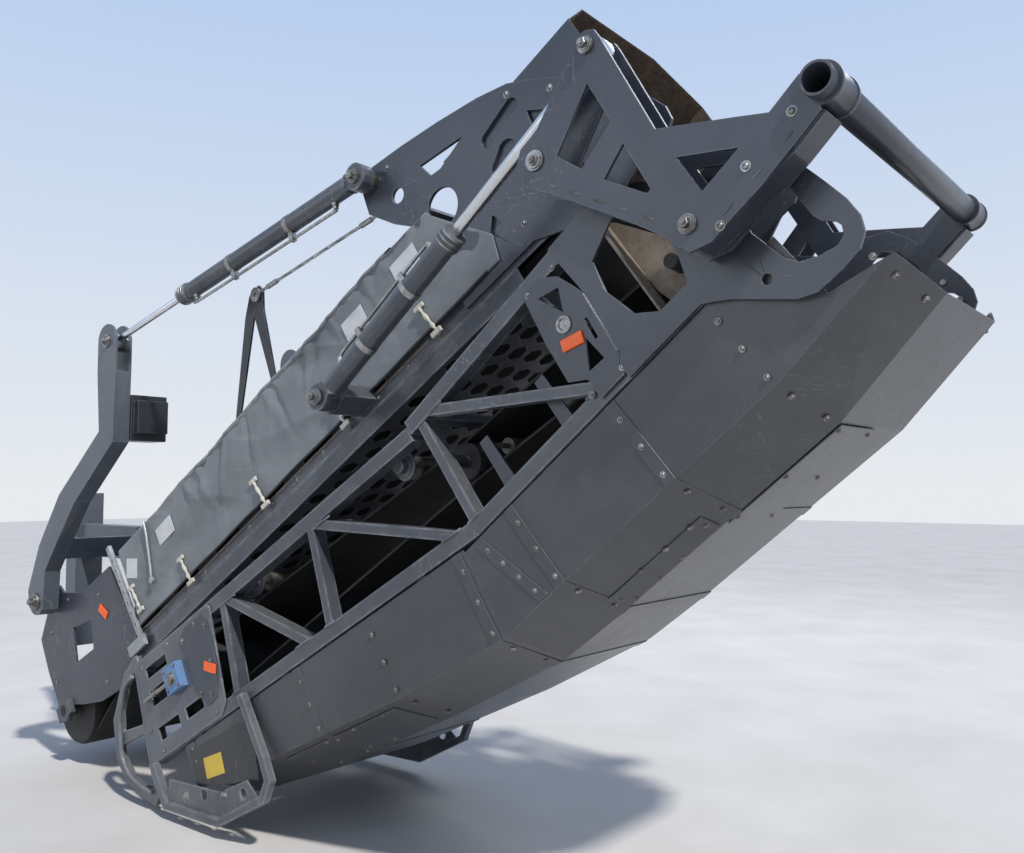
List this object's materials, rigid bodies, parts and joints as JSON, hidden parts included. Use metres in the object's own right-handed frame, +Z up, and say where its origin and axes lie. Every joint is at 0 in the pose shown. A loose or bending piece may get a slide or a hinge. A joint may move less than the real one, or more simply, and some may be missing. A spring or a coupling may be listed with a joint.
{
  "type": "folding discharge conveyor",
  "caption": "Folding two-part discharge belt conveyor of a road milling machine, shown folded, with fold levers, cylinders, hoods and slewing frame.",
  "frame": {"origin": "centre of the lower king pin bore, at its lower face, on the machine's side", "axes": "+X from the machine towards the fold, +Z up, -Y the near side of the picture"},
  "size_m": [5.6301, 1.65, 3.3213],
  "materials": {
    "slate_paint": "satin, scratched",
    "grey_paint": "satin",
    "zinc_steel": "zinc plated",
    "rod_chrome": "polished",
    "belt_rubber": "matt, worn",
    "drum_lagging": "matt",
    "idler_steel": "dull",
    "rusty_sheet": "dusty, rusty",
    "grey_fabric": "coated tarpaulin",
    "blue_paint": "gloss"
  },
  "bodies": {
    "slewing_frame": {"slew_frame": "grey_paint", "foot_pins": "zinc_steel", "lift_pins": "zinc_steel", "slew_block": "grey_paint"},
    "inner_section": {"inner_side_frames": "slate_paint", "inner_cross_members": "slate_paint", "inner_end_plates": "slate_paint", "lever_shafts": "zinc_steel", "inner_hood": "slate_paint", "cover_tarpaulin": "grey_fabric", "cover_bows": "slate_paint", "stay_masts": "slate_paint", "stay_ropes": "zinc_steel", "tail_plates": "slate_paint", "tail_drum": "drum_lagging", "tail_bearings": "slate_paint", "fold_roller": "drum_lagging", "nip_roller": "drum_lagging", "inner_belt": "belt_rubber", "inner_idlers": "idler_steel", "perforated_guard": "slate_paint", "tail_strips": "zinc_steel"},
    "lift_barrel_pair": {"lift_barrels": "slate_paint"},
    "lift_rod_pair": {"lift_rods": "rod_chrome"},
    "fold_barrel_pair": {"fold_barrels": "slate_paint"},
    "fold_rod_pair": {"fold_rods": "rod_chrome"},
    "fold_lever_pair": {"lever_plates": "slate_paint", "cross_tube": "slate_paint", "lever_pins": "zinc_steel"},
    "outer_section": {"outer_end_plates": "slate_paint", "skirt_plates": "rusty_sheet", "outer_truss": "slate_paint", "outer_gussets": "slate_paint", "outer_cross_tubes": "slate_paint", "hood_root": "slate_paint", "hood_tip": "slate_paint", "hood_hangers": "slate_paint", "tip_plates": "slate_paint", "tip_covers": "slate_paint", "head_drum": "drum_lagging", "head_bearings": "blue_paint", "take_up_screws": "zinc_steel", "guard_loops": "slate_paint", "guard_arches": "slate_paint", "outer_roller": "drum_lagging", "outer_belt": "belt_rubber", "outer_idlers": "idler_steel", "outer_idler_brackets": "slate_paint", "belt_scraper": "belt_rubber"}
  },
  "joints": [
    {"name": "luff", "type": "hinge", "parent": "slewing_frame", "child": "inner_section", "pos_m": [0.83454, 0, 0.36248], "axis": [0, -1, 0], "range_deg": [-10, 8]},
    {"name": "lift_swing", "type": "hinge", "parent": "inner_section", "child": "lift_barrel_pair", "pos_m": [3.40604, 0, 2.25063], "axis": [0, -1, 0], "range_deg": [-12, 12]},
    {"name": "lift_stroke", "type": "slide", "parent": "lift_barrel_pair", "child": "lift_rod_pair", "axis": [-0.9675, 0, -0.253], "range_m": [-0.2, 0.3]},
    {"name": "lever_fold", "type": "hinge", "parent": "inner_section", "child": "fold_lever_pair", "pos_m": [4.45003, 0, 2.04029], "axis": [0, -1, 0], "range_deg": [0, 129]},
    {"name": "fold_swing", "type": "hinge", "parent": "inner_section", "child": "fold_barrel_pair", "pos_m": [3.36467, 0, 1.34857], "axis": [0, -1, 0], "range_deg": [-1, 20]},
    {"name": "fold_stroke", "type": "slide", "parent": "fold_barrel_pair", "child": "fold_rod_pair", "axis": [0.7845, 0, 0.6201], "range_m": [-0.7, 0.05]},
    {"name": "outer_fold", "type": "hinge", "parent": "fold_lever_pair", "child": "outer_section", "pos_m": [4.99003, 0, 1.74029], "axis": [0, -1, 0], "range_deg": [0, 45]}
  ],
  "couplings": [
    {"joint": "lift_swing", "follows": "luff", "ratio": 0.51041},
    {"joint": "lift_stroke", "follows": "luff", "m_per_rad": -1.1867},
    {"joint": "fold_swing", "follows": "lever_fold", "ratio": 0.02912},
    {"joint": "fold_stroke", "follows": "lever_fold", "m_per_rad": -0.30045}
  ]
}
